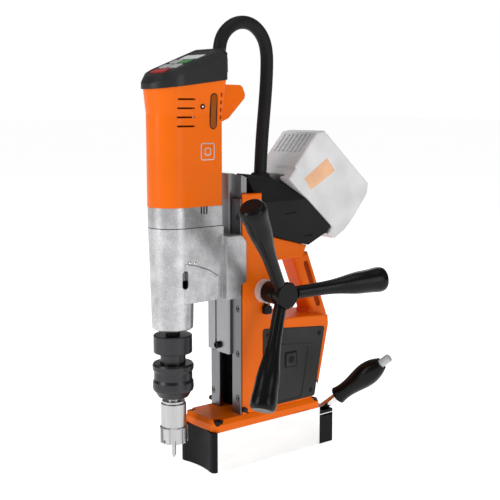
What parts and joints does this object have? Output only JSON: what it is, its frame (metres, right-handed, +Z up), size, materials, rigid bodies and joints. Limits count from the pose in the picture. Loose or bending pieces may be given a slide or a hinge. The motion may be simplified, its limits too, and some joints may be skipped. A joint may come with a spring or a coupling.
{
  "type": "magnetic drill press",
  "caption": "Cordless magnetic drill press: switchable magnet foot, rack-fed drill on guide rails, three-arm crank, quick-change core cutter and slide-on battery.",
  "frame": {"origin": "centre of the magnet foot's pole face, on the steel that the machine stands on", "axes": "+Z up along the feed, -Y towards the drill spindle, +X towards the crank side"},
  "size_m": [0.1777, 0.377, 0.6358],
  "materials": {
    "battery_plastic": "moulded",
    "black_oxide": "black oxide",
    "black_plastic": "fine grain",
    "board_green": "solder mask",
    "bronze": "sintered",
    "cast_alloy": "as cast",
    "cell_wrap": "shrink wrap",
    "chrome": "polished",
    "clear_grey": "translucent",
    "copper_winding": "enamelled",
    "dark_alloy": "hard anodised",
    "dark_paint": "satin",
    "divider_brass": "ground flush",
    "gear_steel": "ground and oiled",
    "green_plastic": "moulded",
    "grey_plastic": "fine grain",
    "ground_steel": "brushed, lightly oiled",
    "hose_rubber": "satin",
    "lens_clear": "clear",
    "magnet_steel": "ground",
    "orange_paint": "satin powder coat",
    "orange_plastic": "moulded",
    "pale_key": "moulded",
    "rail_steel": "ground",
    "red_plastic": "moulded"
  },
  "bodies": {
    "stand": {"magnet_body": "ground_steel", "pole_divider": "divider_brass", "foot_front_cover": "dark_paint", "foot_rear_shell": "dark_paint", "foot_rear_trim": "ground_steel", "foot_rear_lid": "dark_paint", "base_plate": "orange_paint", "base_screws": "black_oxide", "stand_frame": "orange_paint", "guide_rail_right": "rail_steel", "guide_rail_left": "rail_steel", "rail_screws": "black_oxide", "gib_screws": "black_oxide", "side_cover_right": "grey_plastic", "side_cover_left": "grey_plastic", "cover_screws": "black_oxide", "control_board": "board_green", "shaft_bushes": "bronze", "depth_pointer": "black_plastic", "dock_shell_right": "black_plastic", "dock_shell_left": "black_plastic", "hose": "hose_rubber", "hose_flange": "black_plastic"},
    "magnet_lever": {"magnet_rotor": "magnet_steel", "lever_rod": "chrome", "lever_grip": "black_plastic"},
    "lever_catch": {"lever_button": "clear_grey"},
    "drill_unit": {"carriage": "rail_steel", "feed_rack": "gear_steel", "gearbox_case": "cast_alloy", "gearbox_lid": "cast_alloy", "drill_screws": "black_oxide", "drive_bearings": "gear_steel", "motor_stator": "copper_winding", "motor_housing": "orange_plastic", "motor_cap": "black_plastic", "panel_plate": "black_plastic", "display_window": "lens_clear", "panel_board": "board_green", "hose_boot": "black_plastic"},
    "crank": {"pinion_shaft": "gear_steel", "crank_hub": "black_plastic", "crank_arms": "black_plastic"},
    "depth_dial": {"dial_ring": "chrome"},
    "spindle": {"drive_spindle": "gear_steel", "spindle_wheel": "gear_steel", "tool_holder": "dark_alloy", "core_cutter": "gear_steel"},
    "quick_sleeve": {"chuck_sleeve": "dark_alloy"},
    "pilot": {"pilot_pin": "chrome"},
    "counter": {"countershaft": "gear_steel"},
    "rotor": {"motor_rotor": "magnet_steel", "motor_fan": "black_plastic"},
    "battery": {"battery_case": "battery_plastic", "battery_cells": "cell_wrap"},
    "stop_key": {"stop_button": "red_plastic"},
    "speed_up_key": {"speed_up_button": "pale_key"},
    "speed_down_key": {"speed_down_button": "pale_key"},
    "gear_key": {"gear_button": "pale_key"},
    "start_key": {"start_button": "green_plastic"}
  },
  "joints": [
    {"name": "feed_slide", "type": "slide", "parent": "stand", "child": "drill_unit", "axis": [0, 0, 1], "range_m": [-0.08, 0.055], "deforming": ["hose"]},
    {"name": "crank_turn", "type": "hinge", "parent": "stand", "child": "crank", "pos_m": [0, -0.012, 0.251], "axis": [1, 0, 0], "range_deg": [-263, 382.2]},
    {"name": "dial_set", "type": "hinge", "parent": "crank", "child": "depth_dial", "pos_m": [0.04, -0.012, 0.251], "axis": [1, 0, 0], "range_deg": [-180, 180]},
    {"name": "magnet_switch", "type": "hinge", "parent": "stand", "child": "magnet_lever", "pos_m": [0, 0.107, 0.0293], "axis": [0, 1, 0], "range_deg": [-95, 0]},
    {"name": "lever_catch_push", "type": "slide", "parent": "magnet_lever", "child": "lever_catch", "axis": [-0.7089, -0.2831, -0.646], "range_m": [0, 0.004], "stiffness_N_per_m": 400, "springref_m": -0.002},
    {"name": "spindle_spin", "type": "hinge", "parent": "drill_unit", "child": "spindle", "pos_m": [0, -0.1436, 0.2], "axis": [0, 0, 1], "continuous": true},
    {"name": "counter_spin", "type": "hinge", "parent": "drill_unit", "child": "counter", "pos_m": [0, -0.1106, 0.3], "axis": [0, 0, 1], "continuous": true},
    {"name": "rotor_spin", "type": "hinge", "parent": "drill_unit", "child": "rotor", "pos_m": [0, -0.1436, 0.42], "axis": [0, 0, 1], "continuous": true},
    {"name": "sleeve_lift", "type": "slide", "parent": "spindle", "child": "quick_sleeve", "axis": [0, 0, 1], "range_m": [0, 0.006], "stiffness_N_per_m": 400, "springref_m": -0.01},
    {"name": "pilot_push", "type": "slide", "parent": "spindle", "child": "pilot", "axis": [0, 0, 1], "range_m": [0, 0.024], "stiffness_N_per_m": 200, "springref_m": -0.01},
    {"name": "battery_release", "type": "slide", "parent": "stand", "child": "battery", "axis": [0, 0.7486, -0.663], "range_m": [0, 0.098]},
    {"name": "stop_press", "type": "slide", "parent": "drill_unit", "child": "stop_key", "axis": [0, 0.3584, -0.9336], "range_m": [0, 0.0012], "stiffness_N_per_m": 400, "springref_m": -0.001},
    {"name": "speed_up_press", "type": "slide", "parent": "drill_unit", "child": "speed_up_key", "axis": [0, 0.3584, -0.9336], "range_m": [0, 0.0012], "stiffness_N_per_m": 400, "springref_m": -0.001},
    {"name": "speed_down_press", "type": "slide", "parent": "drill_unit", "child": "speed_down_key", "axis": [0, 0.3584, -0.9336], "range_m": [0, 0.0012], "stiffness_N_per_m": 400, "springref_m": -0.001},
    {"name": "gear_press", "type": "slide", "parent": "drill_unit", "child": "gear_key", "axis": [0, 0.3584, -0.9336], "range_m": [0, 0.0012], "stiffness_N_per_m": 400, "springref_m": -0.001},
    {"name": "start_press", "type": "slide", "parent": "drill_unit", "child": "start_key", "axis": [0, 0.3584, -0.9336], "range_m": [0, 0.0012], "stiffness_N_per_m": 400, "springref_m": -0.001}
  ],
  "couplings": [
    {"joint": "crank_turn", "follows": "feed_slide", "rad_per_m": -83.333},
    {"joint": "counter_spin", "follows": "spindle_spin", "ratio": -2.6667},
    {"joint": "rotor_spin", "follows": "spindle_spin", "ratio": 7.1111}
  ]
}
